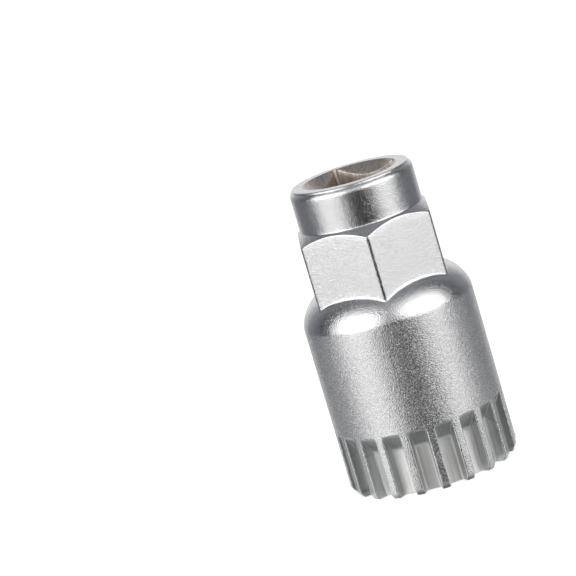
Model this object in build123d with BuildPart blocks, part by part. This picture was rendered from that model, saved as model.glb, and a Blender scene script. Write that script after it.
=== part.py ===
from build123d import *
import math
import os

# Bottom bracket socket: one turned, milled and broached steel piece.
# It stands on its splined end, with its axis on +Z and the drive square at the top. All sizes are in millimetres.

# Lengths of the turned body, the hexagon, its crown and the collar, from the splined end upwards
body_length = 31.9
hexagon_length = 15.7
crown_height = 1.76
collar_length = 7.64

# Turned body with its domed shoulder
body_diameter = 31.6
shoulder_radius = 7.75
shoulder_start = 12.3  # degrees by which the dome leans in where it leaves the body
tip_chamfer_width = 0.75
tip_chamfer_height = 1.1

# Splined end
tooth_count = 20
tooth_width = 1.6
groove_depth = 2.4
groove_length = 12.1
runout_length = 3.6
runout_blend_radius = 1.5
spline_phase = 4.5  # degrees from a hexagon corner to the nearest tooth

# Hexagon for a spanner
hex_across_flats = 24.0
hex_corner_radius = 0.9
crown_edge_radius = 0.4

# Collar, turned just below the flats, and its stepped rim
collar_relief = 1.1
rim_step = 0.55
rim_land_height = 0.35
rim_blend_radius = 0.9

# Drive square, broached from the top into the spindle bore
drive_square = 12.7
drive_clearance = 0.1
drive_corner_radius = 0.5
drive_turn = -30.0  # degrees: two sides of the square lie parallel to two flats of the hexagon
pilot_clearance = 0.2
countersink_width = 2.5
countersink_angle = 103.0

# Spindle bore, open at the splined end
bore_wall = 1.9  # between the bore and the floors of the grooves
spindle_bore_depth = 29.0
bore_end_angle = 118.0
bore_mouth_chamfer = 0.5

# How far a cutting shape reaches past the faces that it cuts
overrun = 1.0

# Sizes that follow from those above
crown_corner_height = body_length + hexagon_length
collar_base_height = crown_corner_height + crown_height
overall_length = collar_base_height + collar_length
body_radius = body_diameter / 2
floor_radius = body_radius - groove_depth
bore_radius = floor_radius - bore_wall
hex_corner_distance = hex_across_flats / 2 / math.cos(math.radians(30))
collar_radius = (hex_across_flats - collar_relief) / 2
crown_slope = crown_height / (hex_corner_distance - collar_radius)
rim_land_radius = collar_radius - rim_step
shoulder_centre_radius = body_radius - shoulder_radius * math.cos(math.radians(shoulder_start))
shoulder_top_height = body_length + shoulder_radius * (1 - math.sin(math.radians(shoulder_start)))
drive_opening = drive_square + drive_clearance
pilot_radius = (drive_opening - pilot_clearance) / 2
countersink_radius = pilot_radius + countersink_width
countersink_depth = countersink_width / math.tan(math.radians(countersink_angle / 2))
bore_end_height = spindle_bore_depth + (bore_radius - pilot_radius) / math.tan(math.radians(bore_end_angle / 2))

# Hexagonal section: a prism with eased corners, its top turned to a cone and the arcs where they meet eased too
with BuildPart() as hexagon:
    with BuildSketch(Plane.XY.offset(body_length)):
        RegularPolygon(radius=hex_across_flats / 2, side_count=6, major_radius=False, rotation=30)
    extrude(amount=collar_base_height - body_length)
    fillet(hexagon.edges().filter_by(Axis.Z), radius=hex_corner_radius)
    with BuildSketch(Plane.XZ):
        with BuildLine():
            Polyline(
                (0, body_length),
                (hex_corner_distance + overrun, body_length),
                (hex_corner_distance + overrun, crown_corner_height - overrun * crown_slope),
                (collar_radius, collar_base_height),
                (0, collar_base_height),
                close=True,
            )
        make_face()
    revolve(axis=Axis.Z, mode=Mode.INTERSECT)
    crown = hexagon.faces().filter_by(GeomType.CONE)
    crown_top = crown.edges().sort_by(Axis.Z)[-1]
    fillet(crown.edges().filter_by(lambda edge: edge.center().Z < crown_top.center().Z), radius=crown_edge_radius)

# One groove between two teeth, drawn on +X: flanks parallel to the teeth, flat floor, sloping run-out at the top
half_pitch = math.radians(180 / tooth_count)


def flank_point(along):
    """Point on the flank of the next tooth, at a distance along that tooth's centre line."""
    x = along * math.cos(half_pitch) + tooth_width / 2 * math.sin(half_pitch)
    y = along * math.sin(half_pitch) - tooth_width / 2 * math.cos(half_pitch)
    return x, y


inner_x, inner_y = flank_point(floor_radius - overrun)
outer_x, outer_y = flank_point(body_radius + overrun)
runout_top = groove_length + overrun * runout_length / groove_depth

with BuildPart() as groove:
    with BuildSketch(Plane.XY.offset(-overrun)):
        with BuildLine():
            Polyline((inner_x, -inner_y), (outer_x, -outer_y), (outer_x, outer_y), (inner_x, inner_y), close=True)
        make_face()
    extrude(amount=runout_top + 2 * overrun)
    with BuildSketch(Plane.XZ):
        with BuildLine():
            Polyline(
                (floor_radius, -overrun),
                (body_radius + overrun, -overrun),
                (body_radius + overrun, runout_top),
                (floor_radius, groove_length - runout_length),
                close=True,
            )
        make_face()
        floor_end = vertices().sort_by(Axis.X)[:2].sort_by(Axis.Y)[-1]
        fillet(floor_end, radius=runout_blend_radius)
    extrude(amount=outer_y + overrun, both=True, mode=Mode.INTERSECT)

# The socket
with BuildPart() as splined_socket:
    # body and domed shoulder, turned
    with BuildSketch(Plane.XZ):
        with BuildLine():
            Polyline(
                (0, shoulder_top_height),
                (0, 0),
                (body_radius - tip_chamfer_width, 0),
                (body_radius, tip_chamfer_height),
                (body_radius, body_length),
            )
            RadiusArc(
                (body_radius, body_length),
                (shoulder_centre_radius, shoulder_top_height),
                -shoulder_radius,
            )
            Line((shoulder_centre_radius, shoulder_top_height), (0, shoulder_top_height))
        make_face()
    revolve(axis=Axis.Z)

    # hexagon, whose flats run out into the dome
    add(hexagon.part)

    # collar with its stepped rim
    with BuildSketch(Plane.XZ):
        with BuildLine():
            Polyline(
                (0, collar_base_height - overrun),
                (collar_radius, collar_base_height - overrun),
                (collar_radius, overall_length - rim_land_height - rim_step),
                (rim_land_radius, overall_length - rim_land_height),
                (rim_land_radius, overall_length),
                (0, overall_length),
                close=True,
            )
        make_face()
        collar_corners = vertices().sort_by(Axis.X)[-2:]
        fillet(collar_corners.sort_by(Axis.Y)[-1], radius=rim_blend_radius)
    revolve(axis=Axis.Z)

    # spindle bore and the pilot hole of the drive, with a countersink at the top
    with BuildSketch(Plane.XZ):
        with BuildLine():
            Polyline(
                (0, -overrun),
                (bore_radius + bore_mouth_chamfer + overrun, -overrun),
                (bore_radius, bore_mouth_chamfer),
                (bore_radius, spindle_bore_depth),
                (pilot_radius, bore_end_height),
                (pilot_radius, overall_length - countersink_depth),
                (countersink_radius, overall_length),
                (countersink_radius, overall_length + overrun),
                (0, overall_length + overrun),
                close=True,
            )
        make_face()
    revolve(axis=Axis.Z, mode=Mode.SUBTRACT)

    # drive square, broached through the pilot hole
    with BuildSketch(Plane.XY.offset(overall_length)):
        with Locations(Rotation(0, 0, drive_turn)):
            RectangleRounded(drive_opening, drive_opening, drive_corner_radius)
    extrude(amount=-(overall_length - spindle_bore_depth), mode=Mode.SUBTRACT)

    # grooves of the splined end
    with PolarLocations(0, tooth_count, start_angle=spline_phase - 90 + 180 / tooth_count):
        add(groove.part, mode=Mode.SUBTRACT)

splined_socket.part.label = "splined_socket"

os.makedirs("parts", exist_ok=True)
export_step(splined_socket.part, "parts/splined_socket.step")
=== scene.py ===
import math

import bmesh
import bpy
import numpy as np
from mathutils import Matrix, Vector


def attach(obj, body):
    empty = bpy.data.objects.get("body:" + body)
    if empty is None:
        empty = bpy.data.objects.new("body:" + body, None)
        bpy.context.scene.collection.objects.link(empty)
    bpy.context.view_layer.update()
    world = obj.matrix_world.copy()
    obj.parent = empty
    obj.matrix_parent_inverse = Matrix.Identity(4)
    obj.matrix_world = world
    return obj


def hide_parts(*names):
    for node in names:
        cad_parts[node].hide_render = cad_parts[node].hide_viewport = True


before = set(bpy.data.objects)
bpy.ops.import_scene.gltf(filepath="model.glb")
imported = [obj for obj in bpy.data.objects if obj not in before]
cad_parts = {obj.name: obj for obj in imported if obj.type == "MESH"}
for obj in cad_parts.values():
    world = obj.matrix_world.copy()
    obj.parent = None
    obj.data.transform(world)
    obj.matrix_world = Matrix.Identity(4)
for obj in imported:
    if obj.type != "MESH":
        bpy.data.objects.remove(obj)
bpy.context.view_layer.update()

# Camera: the photograph's lens, distance and roll round the object's upright axis. Metres and degrees.
camera_position = Vector((0.00404, -0.48615, 0.14247))
camera_aim = Vector((-0.01642, 0.0, 0.04001))
camera_roll = -16.748
camera_lens = 171.58  # millimetres
camera_sensor = 36.0  # millimetres

# Studio: azimuth 0 is the photograph's side, 90 is +X; elevation is above the horizon. Metres and degrees.
studio_centre = Vector((0.0, 0.0, 0.03))
lamp_distance = 1.0
lamps = {
    "left_lamp": {"azimuth": -50.5, "elevation": 24.0, "width": 1.35, "height": 0.80, "radiance": 1.26},
    "right_lamp": {"azimuth": 49.5, "elevation": 24.0, "width": 1.35, "height": 0.80, "radiance": 1.26},
}

# Cards, which stand in most directions that the lamps leave; the steel mirrors them as its bands
card_distance = 0.95
card_facet = 4.0
plain = (1.0, 1.0, 1.0)
cool = (0.96, 0.99, 1.06)
green_grey = (0.96, 1.02, 0.99)
# Each card: from and to azimuth, from and to elevation, how bright the steel sees it, and its tint
cards = {
    "front_card": ((-25, 35), (-2, 12), 0.03, plain),
    "front_card_middle": ((-17, 15), (12, 45), 0.38, plain),
    "front_card_high": ((-20, 8), (45, 60), 0.40, cool),
    "front_card_level": ((-13, 21), (-12.5, -2), 0.09, plain),
    "front_card_low": ((-13, 21), (-22, -12.5), 0.02, plain),
    "front_card_low_left": ((-20, -13), (-22, -2), 0.18, plain),
    "front_card_low_right": ((21, 30), (-22, -2), 0.07, plain),
    "left_card_inner": ((-29, -20), (-60, -2), 0.36, plain),
    "left_card_next": ((-37, -29), (-60, -2), 0.68, plain),
    "left_card_near": ((-45, -37), (-60, -2), 0.90, plain),
    "right_card_inner": ((30, 36), (-22, -2), 0.26, plain),
    "right_card_near": ((36, 42), (-22, -2), 0.78, plain),
    "front_card_under": ((-20, 8), (-44, -22), 0.03, plain),
    "front_card_under_right": ((8, 52), (-44, -22), 0.02, plain),
    "front_card_deep": ((-20, 8), (-60, -44), 0.66, plain),
    "front_card_deep_right": ((8, 52), (-60, -44), 0.96, plain),
    "left_card_low": ((-74, -45), (-60, -2), 0.96, plain),
    "right_card_low": ((42, 74), (-22, -2), 0.96, plain),
    "right_card_under": ((52, 74), (-60, -22), 0.96, plain),
    "left_card_middle": ((-74, -30), (-2, 4), 1.10, plain),
    "right_card_middle": ((34, 74), (-2, 4), 1.10, plain),
    "left_card_high": ((-82, -20), (45, 60), 1.0, plain),
    "right_card_high": ((8, 79), (45, 60), 1.0, plain),
    "left_side_card": ((-120, -83), (-2, 60), 0.09, cool),
    "right_side_card": ((83, 120), (-2, 60), 0.12, cool),
    "left_back_card": ((-150, -120), (-2, 60), 0.30, cool),
    "right_back_card": ((120, 150), (-2, 60), 0.30, cool),
    "left_side_card_low": ((-150, -74), (-22, -2), 0.20, cool),
    "right_side_card_low": ((74, 150), (-22, -2), 0.20, cool),
    "left_side_card_under": ((-150, -74), (-60, -22), 0.84, plain),
    "right_side_card_under": ((74, 150), (-60, -22), 0.66, plain),
    "back_card": ((150, 210), (0, 30), 0.92, plain),
    "back_card_high": ((150, 210), (30, 60), 0.12, plain),
    "back_card_low": ((150, 210), (-60, 0), 0.80, plain),
    "top_card": ((-180, 180), (60, 90), 0.26, cool),
    "bottom_card": ((-180, 180), (-90, -60), 0.17, green_grey),
}

# Pale ground and white surroundings
ground_radius = 6.0
ground_corners = 96
ground_tone = (0.85, 0.85, 0.85, 1.0)
ground_glow = 0.5  # what the camera sees on top of the light that falls on it
white = (1.0, 1.0, 1.0, 1.0)
world_light = 0.6  # how bright the white surroundings are as a light

# The socket's sizes, in millimetres and degrees, as in its CAD source
mm = 0.001
body_length = 31.9
crown_corner_height = 47.6
collar_base_height = 49.36
overall_length = 57.0
body_radius = 15.8
shoulder_radius = 7.75
shoulder_start = math.radians(12.3)
tip_chamfer_width = 0.75
tip_chamfer_height = 1.1
tooth_count = 20
tooth_half_width = 0.8
floor_radius = 13.4
groove_length = 12.1
runout_length = 3.6
runout_blend_radius = 1.5
first_tooth = -85.5
hex_apothem = 12.0
hex_corner_distance = hex_apothem / math.cos(math.radians(30))
first_hex_corner = -90.0
crown_edge_radius = 0.4
collar_radius = 11.45
rim_step = 0.55
rim_land_height = 0.35
drive_apothem = 6.4
first_drive_corner = 15.0
countersink_radius = 8.8
countersink_slope = math.tan(math.radians(51.5))
bore_radius = 11.5
bore_end_slope = math.tan(math.radians(59.0))
spindle_bore_depth = 29.0
bore_mouth_chamfer = 0.5

# Small edges and roots that only this finer mesh has, in millimetres
hex_corner_radius = 0.9
hex_root_radius = 0.9
collar_root_radius = 0.4
drive_corner_radius = 0.8
tooth_edge = 0.25
groove_root_radius = 0.3
flank_share = 0.4  # the most that a tooth's edge or a groove's root takes of a flank
tip_blend_radius = 1.2
tip_end_radius = 0.3
crease_radius = 2.2
crease_turn = 0.12  # radians of the dome that the crease's easing may reach into
rim_blend_radius = 1.3
rim_edge = 0.28
rim_share = 0.8  # the most that the rim's easings take of the faces beside them
rim_root_radius = 0.10
drive_edge = 0.15
small_edge = 0.12
countersink_lip = 0.1
land_inset = 0.4  # from the rim's edge to the first row on the top face
mouth_margin = 0.3  # from the last row on the top face to the countersink
bore_end_root_radius = 0.5
runout_edge_depth = 0.25

# Plated finish: the body blasted under its plating, satin from the dome up. Sizes and depths in millimetres.
plating_tone = (0.70, 0.70, 0.705)
body_metallic = 0.97
body_roughness = 0.25
body_grain_depth = 0.072
satin_roughness = 0.175
satin_grain_depth = 0.052
grain_size = 0.20
grain_octaves = 0.6
grain_squash = 1.5  # how much finer the grain is along the axis
grain_range = (0.0, 1.0)
grain_shade = 0.05
patch_size = 0.6  # patches a little rougher or smoother than the rest
patch_octaves = 3.0
patch_range = (0.3, 0.7)
roughness_spread = 0.03
# Milled finish: the floors of the grooves with the bore, and the flanks with the run-outs. The floors' lighter
# tone is painted light and the flanks' darker tone is painted shade; the roughnesses and mill marks are the
# finish's own.
floor_painted_light_tone = (0.92, 0.92, 0.905)
flank_painted_shade_tone = (0.54, 0.56, 0.555)
floor_roughness = 0.50
flank_roughness = 0.34
milled_grain_depth = 0.03
mill_mark_shade = 0.07
# Broached finish: the square and its countersink
broached_tone = (0.62, 0.56, 0.50)
broached_roughness = 0.30
broach_mark_depth = 0.05
broach_mark_shade = 0.20
# Marks of the mill and the broach, drawn out along the axis
mark_size = 0.40
mark_stretch = 0.04
mark_octaves = 2.0
mark_range = (0.35, 0.65)
# Where one finish passes into the next, and how wide the bands are in which it does, in millimetres
satin_fade = 0.35
groove_end_fade = 0.2
tooth_top_depth = 0.25  # how far down the flanks the tooth tops' plating reaches
tooth_top_fade = 0.15
floor_edge = 0.1  # how far up the flanks the floors' finish reaches
floor_fade = 0.4
bore_end_fade = 1.0
countersink_fade = 0.1

# Columns of the mesh round the axis: 30 a tooth, 100 a side of the hexagon, 150 a side of the square
top_columns = 4  # on half a tooth's top
edge_columns = 4
root_columns = 4
floor_columns = 3  # on half a groove's floor
columns = 2 * tooth_count * (top_columns + edge_columns + root_columns + floor_columns)
column_turn = 2 * math.pi / columns
column = np.arange(columns)
hex_corner_columns = 8
drive_corner_columns = 12

# Rows of the mesh on its longer faces: how many, or at which heights in millimetres, or at which shares of the
# way from one edge to the next
body_row_heights = (12.25, 12.6, 13.2, 14.2, 15.8, 18.0, 20.5, 23.0, 25.5, 28.0, 30.0)
dome_row_shares = np.linspace(0.04, 1, 15)
flat_row_shares = (0.12, 0.37, 0.63, 0.88)
collar_row_heights = (50.4, 51.6, 52.8, 54.0, 55.0)
countersink_row_shares = (0.5,)
drive_row_shares = (0.04, 0.2, 0.5, 0.8, 0.96)
bore_end_row_shares = (0.35, 0.7)
bore_row_heights = (27.0, 24.0, 20.0, 16.0, 12.0, 8.0, 4.0)
tip_end_rows = 4
groove_rows = 4
runout_rows = 5
hex_root_rows = 6
sharp_angle = math.radians(32)


def direction(azimuth, elevation):
    """Unit vector from the object towards a place in the studio."""
    a = math.radians(azimuth)
    e = math.radians(elevation)
    return Vector((math.sin(a) * math.cos(e), -math.cos(a) * math.cos(e), math.sin(e)))


def new_material(name):
    """An empty node material, with its node tree and its output node."""
    material = bpy.data.materials.new(name)
    material.use_nodes = True
    tree = material.node_tree
    tree.nodes.clear()
    output = tree.nodes.new("ShaderNodeOutputMaterial")
    return material, tree, output


def add_camera():
    """The photograph's camera, rolled so that the upright socket leans in the picture."""
    data = bpy.data.cameras.new("camera")
    data.lens = camera_lens
    data.sensor_width = camera_sensor
    camera = bpy.data.objects.new("camera", data)
    forward = (camera_aim - camera_position).normalized()
    turn = forward.to_track_quat("-Z", "Y").to_matrix()
    roll = Matrix.Rotation(math.radians(camera_roll), 3, "Z")
    camera.matrix_world = Matrix.Translation(camera_position) @ (turn @ roll).to_4x4()
    bpy.context.scene.collection.objects.link(camera)
    bpy.context.scene.camera = camera


def add_lamp(name, azimuth, elevation, width, height, radiance):
    """A soft rectangular lamp that faces the object."""
    data = bpy.data.lights.new(name, "AREA")
    data.shape = "RECTANGLE"
    data.size = width
    data.size_y = height
    data.energy = radiance * math.pi * width * height
    lamp = bpy.data.objects.new(name, data)
    towards = direction(azimuth, elevation)
    lamp.location = studio_centre + towards * lamp_distance
    lamp.rotation_mode = "QUATERNION"
    lamp.rotation_quaternion = (-towards).to_track_quat("-Z", "Y")
    lamp.visible_camera = False
    bpy.context.scene.collection.objects.link(lamp)


def add_card(name, azimuths, elevations, grey, tint):
    """A curved grey card round the object, which only the steel's reflections see."""
    material, tree, output = new_material(name)
    emission = tree.nodes.new("ShaderNodeEmission")
    emission.inputs["Color"].default_value = (*(grey * share for share in tint), 1.0)
    tree.links.new(emission.outputs["Emission"], output.inputs["Surface"])
    across = max(2, int((azimuths[1] - azimuths[0]) / card_facet))
    up = max(2, int((elevations[1] - elevations[0]) / card_facet))
    shape = bmesh.new()
    grid = []
    for i in range(up + 1):
        elevation = elevations[0] + (elevations[1] - elevations[0]) * i / up
        row = []
        for j in range(across + 1):
            azimuth = azimuths[0] + (azimuths[1] - azimuths[0]) * j / across
            row.append(shape.verts.new(studio_centre + direction(azimuth, elevation) * card_distance))
        grid.append(row)
    for i in range(up):
        for j in range(across):
            shape.faces.new((grid[i][j], grid[i][j + 1], grid[i + 1][j + 1], grid[i + 1][j]))
    mesh = bpy.data.meshes.new(name)
    shape.to_mesh(mesh)
    shape.free()
    card = bpy.data.objects.new(name, mesh)
    mesh.materials.append(material)
    card.visible_camera = False
    card.visible_diffuse = False
    card.visible_shadow = False
    bpy.context.scene.collection.objects.link(card)


def seen_rays(tree):
    """1 for camera, glossy and transmission rays, 0 for the rays that light the scene."""
    path = tree.nodes.new("ShaderNodeLightPath")
    first = tree.nodes.new("ShaderNodeMath")
    first.operation = "MAXIMUM"
    second = tree.nodes.new("ShaderNodeMath")
    second.operation = "MAXIMUM"
    tree.links.new(path.outputs["Is Camera Ray"], first.inputs[0])
    tree.links.new(path.outputs["Is Glossy Ray"], first.inputs[1])
    tree.links.new(first.outputs[0], second.inputs[0])
    tree.links.new(path.outputs["Is Transmission Ray"], second.inputs[1])
    return second.outputs[0]


def add_floor():
    """A pale matt floor that reads as white to the camera and keeps the object's shadow."""
    material, tree, output = new_material("pale_floor")
    matt = tree.nodes.new("ShaderNodeBsdfDiffuse")
    matt.inputs["Color"].default_value = ground_tone
    glow = tree.nodes.new("ShaderNodeEmission")
    glow.inputs["Color"].default_value = white
    scale = tree.nodes.new("ShaderNodeMath")
    scale.operation = "MULTIPLY"
    scale.inputs[1].default_value = ground_glow
    both = tree.nodes.new("ShaderNodeAddShader")
    tree.links.new(seen_rays(tree), scale.inputs[0])
    tree.links.new(scale.outputs[0], glow.inputs["Strength"])
    tree.links.new(matt.outputs["BSDF"], both.inputs[0])
    tree.links.new(glow.outputs["Emission"], both.inputs[1])
    tree.links.new(both.outputs["Shader"], output.inputs["Surface"])
    bpy.ops.mesh.primitive_circle_add(vertices=ground_corners, radius=ground_radius, fill_type="NGON")
    floor = bpy.context.object
    floor.name = "floor"
    floor.data.materials.append(material)
    floor.visible_glossy = False
    floor.visible_shadow = False


def set_world():
    """White all round to the camera and in reflections, a little darker as a light."""
    world = bpy.data.worlds.new("white_sweep")
    world.use_nodes = True
    tree = world.node_tree
    background = tree.nodes["Background"]
    background.inputs["Color"].default_value = white
    strength = tree.nodes.new("ShaderNodeMapRange")
    strength.inputs["To Min"].default_value = world_light
    strength.inputs["To Max"].default_value = 1.0
    tree.links.new(seen_rays(tree), strength.inputs["Value"])
    tree.links.new(strength.outputs["Result"], background.inputs["Strength"])
    bpy.context.scene.world = world


def satin_plated_steel():
    """Plated steel: grain on the turned body, smoother flats and collar, milled grooves, broached square."""
    material, tree, output = new_material("satin_plated_steel")
    shader = tree.nodes.new("ShaderNodeBsdfPrincipled")
    place = tree.nodes.new("ShaderNodeTexCoord").outputs["Object"]

    def put(value, socket):
        """Link a value made by another node, or set a fixed one."""
        if isinstance(value, bpy.types.NodeSocket):
            tree.links.new(value, socket)
        else:
            socket.default_value = value

    def product(first, second):
        node = tree.nodes.new("ShaderNodeMath")
        node.operation = "MULTIPLY"
        put(first, node.inputs[0])
        put(second, node.inputs[1])
        return node.outputs[0]

    def total(first, second):
        node = tree.nodes.new("ShaderNodeMath")
        put(first, node.inputs[0])
        put(second, node.inputs[1])
        return node.outputs[0]

    def stretched(vector, factors):
        node = tree.nodes.new("ShaderNodeVectorMath")
        node.operation = "MULTIPLY"
        put(vector, node.inputs[0])
        put(factors, node.inputs[1])
        return node.outputs["Vector"]

    def length(vector):
        node = tree.nodes.new("ShaderNodeVectorMath")
        node.operation = "LENGTH"
        put(vector, node.inputs[0])
        return node.outputs["Value"]

    def shaded(colour, factor):
        node = tree.nodes.new("ShaderNodeVectorMath")
        node.operation = "SCALE"
        put(colour, node.inputs[0])
        put(factor, node.inputs["Scale"])
        return node.outputs["Vector"]

    def ramp(value, start, end, first, second):
        """From the first number to the second as a value goes from start to end."""
        node = tree.nodes.new("ShaderNodeMapRange")
        put(value, node.inputs["Value"])
        node.inputs["From Min"].default_value = start
        node.inputs["From Max"].default_value = end
        node.inputs["To Min"].default_value = first
        node.inputs["To Max"].default_value = second
        return node.outputs["Result"]

    def past(value, start, fade):
        """0 up to a start in millimetres, 1 from the end of its fade."""
        return ramp(value, start * mm, (start + fade) * mm, 0.0, 1.0)

    def short_of(value, end, fade):
        """1 up to the beginning of a fade, 0 from its end in millimetres."""
        return ramp(value, (end - fade) * mm, end * mm, 1.0, 0.0)

    def swing(texture, noise_range, middle, spread):
        """A number that a noise moves up and down round its middle."""
        return ramp(texture, *noise_range, middle - spread, middle + spread)

    def mixed(share, first, second):
        node = tree.nodes.new("ShaderNodeMix")
        put(share, node.inputs[0])
        put(first, node.inputs[2])
        put(second, node.inputs[3])
        return node.outputs[0]

    def mixed_colour(share, first, second):
        node = tree.nodes.new("ShaderNodeMix")
        node.data_type = "VECTOR"
        put(share, node.inputs[0])
        put(first, node.inputs[4])
        put(second, node.inputs[5])
        return node.outputs[1]

    def noise(where, size, octaves):
        texture = tree.nodes.new("ShaderNodeTexNoise")
        texture.inputs["Scale"].default_value = 1 / (size * mm)
        texture.inputs["Detail"].default_value = octaves
        put(where, texture.inputs["Vector"])
        return texture.outputs["Fac"]

    def bump(height, depth):
        relief = tree.nodes.new("ShaderNodeBump")
        put(height, relief.inputs["Height"])
        put(depth, relief.inputs["Distance"])
        return relief

    split = tree.nodes.new("ShaderNodeSeparateXYZ")
    put(place, split.inputs["Vector"])
    height = split.outputs["Z"]
    from_axis = length(stretched(place, (1.0, 1.0, 0.0)))

    # where each finish is, from 0 to 1
    satin = past(height, body_length - satin_fade, satin_fade)
    beside_grooves = short_of(height, groove_length + groove_end_fade / 2, groove_end_fade)
    under_tops = short_of(from_axis, body_radius - tooth_top_depth, tooth_top_fade)
    milled = product(beside_grooves, under_tops)
    flank = past(from_axis, floor_radius + floor_edge, floor_fade)
    above_bore = past(height, spindle_bore_depth, bore_end_fade)
    broached = product(above_bore, short_of(from_axis, countersink_radius, countersink_fade))

    # relief
    grain = noise(stretched(place, (1.0, 1.0, grain_squash)), grain_size, grain_octaves)
    marks = noise(stretched(place, (1.0, 1.0, mark_stretch)), mark_size, mark_octaves)
    grain_depth = mixed(satin, body_grain_depth * mm, satin_grain_depth * mm)
    grain_relief = bump(grain, mixed(milled, grain_depth, milled_grain_depth * mm))
    mark_relief = bump(marks, product(broached, broach_mark_depth * mm))
    put(grain_relief.outputs["Normal"], mark_relief.inputs["Normal"])
    put(mark_relief.outputs["Normal"], shader.inputs["Normal"])

    # colour
    plating = shaded(plating_tone, swing(grain, grain_range, 1.0, grain_shade))
    # painted light on the groove floors and painted shade on their flanks, streaked with the mill's marks
    milled_painted_light_and_shade = mixed_colour(flank, floor_painted_light_tone, flank_painted_shade_tone)
    milled_marks_and_painted_light = shaded(milled_painted_light_and_shade, swing(marks, mark_range, 1.0, mill_mark_shade))
    broached_steel = shaded(broached_tone, swing(marks, mark_range, 1.0, broach_mark_shade))
    colour = mixed_colour(milled, plating, milled_marks_and_painted_light)
    put(mixed_colour(broached, colour, broached_steel), shader.inputs["Base Color"])
    put(mixed(total(satin, milled), body_metallic, 1.0), shader.inputs["Metallic"])

    # roughness
    patches = swing(noise(place, patch_size, patch_octaves), patch_range, 0.0, roughness_spread)
    rough = total(mixed(satin, body_roughness, satin_roughness), patches)
    rough = mixed(milled, rough, mixed(flank, floor_roughness, flank_roughness))
    put(mixed(broached, rough, broached_roughness), shader.inputs["Roughness"])
    put(shader.outputs["BSDF"], output.inputs["Surface"])
    return material


def rounded_polygon(sides, apothem, corner_radius, corner_columns, first_corner):
    """Angle and radius of each column round a regular polygon whose corners are eased."""
    per_side = columns // sides
    half_side = math.pi / sides
    first = round(math.radians(first_corner) / column_turn)
    place = (column - first) % per_side
    side = (column - first) // per_side
    from_corner = np.minimum(place, per_side - place)
    corner_centre = (apothem - corner_radius) / math.cos(half_side)
    on_arc = corner_centre + corner_radius * np.exp(1j * half_side * from_corner / corner_columns)
    flat_half = (apothem - corner_radius) * math.tan(half_side)
    along = flat_half * (per_side / 2 - from_corner) / (per_side / 2 - corner_columns)
    on_flat = (apothem - 1j * along) * np.exp(1j * half_side)
    point = np.where(from_corner <= corner_columns, on_arc, on_flat)
    turned = np.where(place <= per_side / 2, np.angle(point), 2 * half_side - np.angle(point))
    return turned + (first + side * per_side) * column_turn, np.abs(point)


def toothed_ring(tip, floor, inset):
    """Plan of the splined end, a complex number for each column, from the radii of its tips and floors.

    The inset is taken off each flank. Columns stand half a column off the middle of a tooth and of a groove.
    """
    half_pitch = math.pi / tooth_count
    centre = (column * column_turn - math.radians(first_tooth)) / (2 * half_pitch)
    tooth = np.round(centre)
    place = np.round(np.abs(centre - tooth) * columns / tooth_count - 0.5).astype(int)
    width = tooth_half_width - inset
    top_length = math.sqrt(tip**2 - width**2)
    floor_length = (floor - width * math.sin(half_pitch)) / math.cos(half_pitch)
    edge = min(tooth_edge, flank_share * (top_length - floor_length))
    root = min(groove_root_radius, flank_share * (top_length - floor_length))
    edge_centre = complex(math.sqrt((tip - edge) ** 2 - (width - edge) ** 2), width - edge)
    edge_start = math.atan2(edge_centre.imag, edge_centre.real)
    root_along = (floor + root - (width + root) * math.sin(half_pitch)) / math.cos(half_pitch)
    root_centre = complex(root_along, width + root)

    half_tooth = []
    for k in range(top_columns):
        half_tooth.append(tip * np.exp(1j * edge_start * (k + 0.5) / (top_columns + 0.5)))
    for turn in np.linspace(edge_start, math.pi / 2, edge_columns):
        half_tooth.append(edge_centre + edge * np.exp(1j * turn))
    for turn in np.linspace(math.pi / 2, half_pitch, root_columns):
        half_tooth.append(root_centre - root * np.exp(1j * turn))
    floor_half = -(half_tooth[-1] * np.exp(-1j * half_pitch)).imag
    for k in range(floor_columns):
        beside = floor_half * (floor_columns - k - 0.5) / (floor_columns + 0.5)
        half_tooth.append((floor - 1j * beside) * np.exp(1j * half_pitch))

    half_tooth = np.array(half_tooth)
    plan = np.where(centre > tooth, half_tooth[place], half_tooth[place].conj())
    return plan * np.exp(1j * (tooth * 2 * half_pitch + math.radians(first_tooth)))


def beside_groove(plan):
    """How far each point of a plan lies to the side of the middle of its groove."""
    pitch = 2 * math.pi / tooth_count
    first = math.radians(first_tooth)
    middle = first + pitch * (np.floor((np.angle(plan) - first) / pitch) + 0.5)
    return np.abs((plan * np.exp(-1j * middle)).imag)


def eased_corner(before, corner, after, radius, rows, share=0.45):
    """Rows on an arc that eases a corner of the half-section; points are radius + height * 1j.

    The points before and after say where the faces beside the corner run to. For a long face any point some
    millimetres along it will do. The arc takes no more than the given share of the shorter side.
    """
    back = before - corner
    ahead = after - corner
    turn = np.angle(-ahead / back)
    reach = np.minimum(radius * np.tan(np.abs(turn) / 2), share * np.minimum(np.abs(back), np.abs(ahead)))
    eased = reach / np.tan(np.abs(turn) / 2)
    inwards = -back / np.abs(back) * 1j * np.sign(turn)
    centre = corner + back / np.abs(back) * reach + inwards * eased
    return [centre - inwards * eased * np.exp(1j * turn * k / (rows - 1)) for k in range(rows)]


def blend(first, second, share):
    """Between two sets of column angles, eased at both ends."""
    eased = share * share * (3 - 2 * share)
    return first * (1 - eased) + second * eased


class Wall:
    """The rows of the socket's one closed surface, up the outside and down the inside, in millimetres."""

    def __init__(self):
        self.rows = []

    def planned(self, plan, height):
        """A row with the given plan, at one height or at a height for each column."""
        self.rows.append(np.stack([plan.real, plan.imag, np.broadcast_to(height, columns)], axis=1))

    def turned(self, angles, sections):
        """A row for each point of the half-section, at the given angles of the columns."""
        for section in sections:
            section = np.broadcast_to(section, columns)
            self.planned(section.real * np.exp(1j * angles), section.imag)

    def between(self, angles, first, second, shares):
        """Rows at the given shares of the way from one point of the half-section to another."""
        self.turned(angles, [first + (second - first) * share for share in shares])


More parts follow.
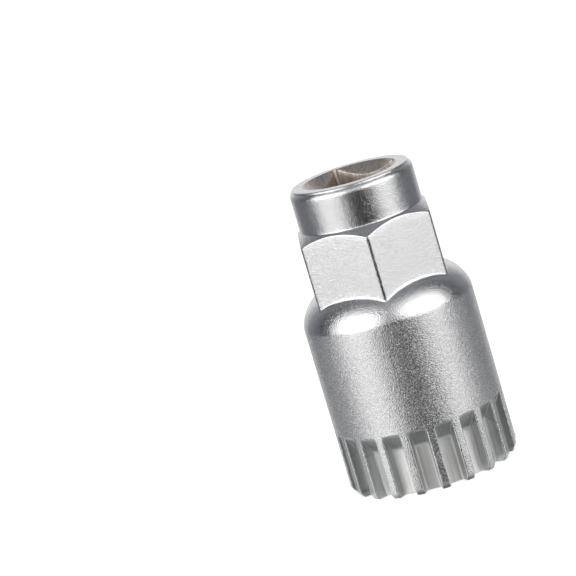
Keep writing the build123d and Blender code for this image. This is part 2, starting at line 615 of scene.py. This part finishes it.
def add_splined_end(wall):
    """Tooth tips, grooves and run-outs; returns the angles of the columns where the plain body begins."""
    # the tips: end face, eased edge, chamfer and the blend into the outside of the teeth
    end = complex(body_radius - tip_chamfer_width, 0)
    shoulder = complex(body_radius, tip_chamfer_height)
    tip = eased_corner(end - 1, end, shoulder, tip_end_radius, rows=tip_end_rows)
    tip += eased_corner(end, shoulder, shoulder + 4j, tip_blend_radius, rows=5)
    for k, point in enumerate(tip):
        ease = math.pi / 2 * min(1, k / (tip_end_rows - 1))
        inset = tooth_edge * (1 - math.sin(ease))
        low = tooth_edge * (1 - math.cos(ease))
        plan = toothed_ring(point.real, floor_radius - inset, inset)
        depth = np.clip((body_radius - np.abs(plan)) / (body_radius - floor_radius), 0, 1)
        floor_height = low if k < tip_end_rows else max(low, point.imag)
        on_floor = np.abs(plan) < floor_radius + groove_root_radius
        wall.planned(plan, np.where(on_floor, floor_height, point.imag * (1 - depth) + floor_height * depth))

    # the straight grooves
    runout_start = complex(floor_radius, groove_length - runout_length)
    runout_end = complex(body_radius, groove_length)
    runout = eased_corner(complex(floor_radius, 0), runout_start, runout_end, runout_blend_radius, rows=6)
    for height in np.linspace(tip[-1].imag, runout[0].imag, groove_rows + 2)[1:-1]:
        wall.planned(toothed_ring(body_radius, floor_radius, 0), height)

    # the run-outs, up to where they reach the outside
    slope = runout_length / (body_radius - floor_radius)
    for radius in np.linspace(runout[-1].real, body_radius - runout_edge_depth, runout_rows + 1)[1:]:
        runout.append(complex(radius, runout_start.imag + (radius - floor_radius) * slope))
    for point in runout:
        plan = toothed_ring(body_radius, point.real, 0)
        wall.planned(plan, point.imag)
    angles = np.unwrap(np.angle(plan))
    angles -= 2 * math.pi * round(angles[0] / (2 * math.pi))
    fall = body_radius - np.sqrt(body_radius**2 - beside_groove(plan) ** 2)
    wall.turned(angles, [body_radius + 1j * (groove_length - fall * slope)])
    return angles


def add_outside(wall, spline_angles):
    """Body, domed shoulder, hexagon, crown and collar root; returns the angles of the hexagon's columns."""
    hex_angles, hex_radius = rounded_polygon(
        6, hex_apothem, hex_corner_radius, hex_corner_columns, first_hex_corner
    )
    crease = complex(body_radius, body_length)
    arc_centre = crease - shoulder_radius * np.exp(1j * shoulder_start)

    # plain body, on which the columns move from the teeth's places to the hexagon's
    for k, height in enumerate(body_row_heights):
        share = k / len(body_row_heights)
        wall.turned(blend(spline_angles, hex_angles, share), [complex(body_radius, height)])
    lean = arc_centre + shoulder_radius * np.exp(1j * (shoulder_start + crease_turn))
    wall.turned(hex_angles, eased_corner(crease - 2j, crease, lean, crease_radius, rows=3))

    # dome, up to the root in which the flats stand
    root_radius = hex_radius + hex_root_radius
    reach = shoulder_radius + hex_root_radius
    root_height = arc_centre.imag + np.sqrt(reach**2 - (root_radius - arc_centre.real) ** 2)
    root_centre = root_radius + 1j * root_height
    root_turn = np.angle(root_centre - arc_centre)
    for share in dome_row_shares:
        turn = shoulder_start + (root_turn - shoulder_start) * share
        wall.turned(hex_angles, [arc_centre + shoulder_radius * np.exp(1j * turn)])
    for share in np.linspace(0, 1, hex_root_rows + 1)[1:]:
        wall.turned(hex_angles, [root_centre - hex_root_radius * np.exp(1j * root_turn * (1 - share))])

    # flats, crown and collar root
    slope = (collar_base_height - crown_corner_height) / (hex_corner_distance - collar_radius)
    crown = hex_radius + 1j * (crown_corner_height + (hex_corner_distance - hex_radius) * slope)
    collar_base = complex(collar_radius, collar_base_height)
    edge = eased_corner(crown - 3j, crown, collar_base, crown_edge_radius, rows=5)
    wall.between(hex_angles, hex_radius + 1j * root_height, hex_radius + 1j * edge[0].imag, flat_row_shares)
    wall.turned(hex_angles, edge)
    wall.turned(hex_angles, eased_corner(crown, collar_base, collar_base + 5j, collar_root_radius, rows=5))
    return hex_angles


def add_rim_and_drive(wall, hex_angles):
    """Stepped rim, countersink and drive square, down to the end of the spindle bore."""
    drive_angles, drive_radius = rounded_polygon(
        4, drive_apothem, drive_corner_radius, drive_corner_columns, first_drive_corner
    )
    step = complex(collar_radius, overall_length - rim_land_height - rim_step)
    land_root = complex(collar_radius - rim_step, overall_length - rim_land_height)
    land = complex(collar_radius - rim_step, overall_length)
    collar = [complex(collar_radius, height) for height in collar_row_heights]
    collar += eased_corner(step - 3j, step, land_root, rim_blend_radius, rows=6, share=rim_share)
    collar += eased_corner(step, land_root, land, rim_root_radius, rows=3)
    collar += eased_corner(land_root, land, land - 2, rim_edge, rows=7, share=rim_share)
    for k, point in enumerate(collar):
        wall.turned(blend(hex_angles, drive_angles, (k + 1) / len(collar)), [point])

    # countersink, whose edge with the square rises and falls round the sides
    mouth = np.maximum(countersink_radius, drive_radius + countersink_lip) + 1j * overall_length
    drive_top = drive_radius + 1j * (overall_length - (mouth.real - drive_radius) / countersink_slope)
    drive_end = drive_radius + 1j * (spindle_bore_depth + (bore_radius - drive_radius) / bore_end_slope)
    bore_end = complex(bore_radius, spindle_bore_depth)
    wall.turned(drive_angles, [land - land_inset, mouth + mouth_margin])
    wall.turned(drive_angles, eased_corner(mouth + 1, mouth, drive_top, small_edge, rows=3))
    wall.between(drive_angles, mouth, drive_top, countersink_row_shares)

    # square, and the cone at the end of the bore
    wall.turned(drive_angles, eased_corner(mouth, drive_top, drive_top - 5j, drive_edge, rows=4))
    wall.between(drive_angles, drive_top, drive_end, drive_row_shares)
    wall.turned(drive_angles, eased_corner(drive_end + 5j, drive_end, bore_end, small_edge, rows=3))
    wall.between(drive_angles, drive_end, bore_end, bore_end_row_shares)
    return drive_angles


def add_bore(wall, drive_angles):
    """Spindle bore and its chamfered mouth, down to the end face."""
    even_angles = column * column_turn
    bore_end = complex(bore_radius, spindle_bore_depth)
    on_cone = bore_end + complex(-3, 3 / bore_end_slope)
    bore = eased_corner(on_cone, bore_end, bore_end - 5j, bore_end_root_radius, rows=4)
    bore += [complex(bore_radius, height) for height in bore_row_heights]
    for k, point in enumerate(bore):
        wall.turned(blend(drive_angles, even_angles, (k + 1) / len(bore)), [point])
    chamfer = complex(bore_radius, bore_mouth_chamfer)
    mouth = complex(bore_radius + bore_mouth_chamfer, 0)
    wall.turned(even_angles, eased_corner(chamfer + 3j, chamfer, mouth, small_edge, rows=3))
    wall.turned(even_angles, eased_corner(chamfer, mouth, mouth + 1, small_edge, rows=3))


def build_socket(material):
    """The socket as one closed mesh with the small edges that catch the light."""
    wall = Wall()
    spline_angles = add_splined_end(wall)
    hex_angles = add_outside(wall, spline_angles)
    drive_angles = add_rim_and_drive(wall, hex_angles)
    add_bore(wall, drive_angles)

    # a face between each pair of columns and rows; the last row joins the first across the end face
    count = len(wall.rows)
    row, place = np.meshgrid(np.arange(count), column, indexing="ij")
    above = (row + 1) % count
    beside = (place + 1) % columns
    corners = [row * columns + place, row * columns + beside, above * columns + beside, above * columns + place]
    faces = np.stack(corners, axis=-1).reshape(-1, 4)
    mesh = bpy.data.meshes.new("fine_socket")
    mesh.from_pydata((np.concatenate(wall.rows) * mm).tolist(), [], faces.tolist())
    mesh.shade_smooth()
    mesh.set_sharp_from_angle(angle=sharp_angle)
    mesh.materials.append(material)
    piece = bpy.data.objects.new("fine_socket", mesh)
    bpy.context.scene.collection.objects.link(piece)
    normals = piece.modifiers.new("even_shading", "WEIGHTED_NORMAL")
    normals.keep_sharp = True
    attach(piece, "root")
    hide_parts("splined_socket")


build_socket(satin_plated_steel())
add_camera()
for name, lamp in lamps.items():
    add_lamp(name, **lamp)
for name, card in cards.items():
    add_card(name, *card)
add_floor()
set_world()
bpy.context.scene.view_settings.view_transform = "Standard"
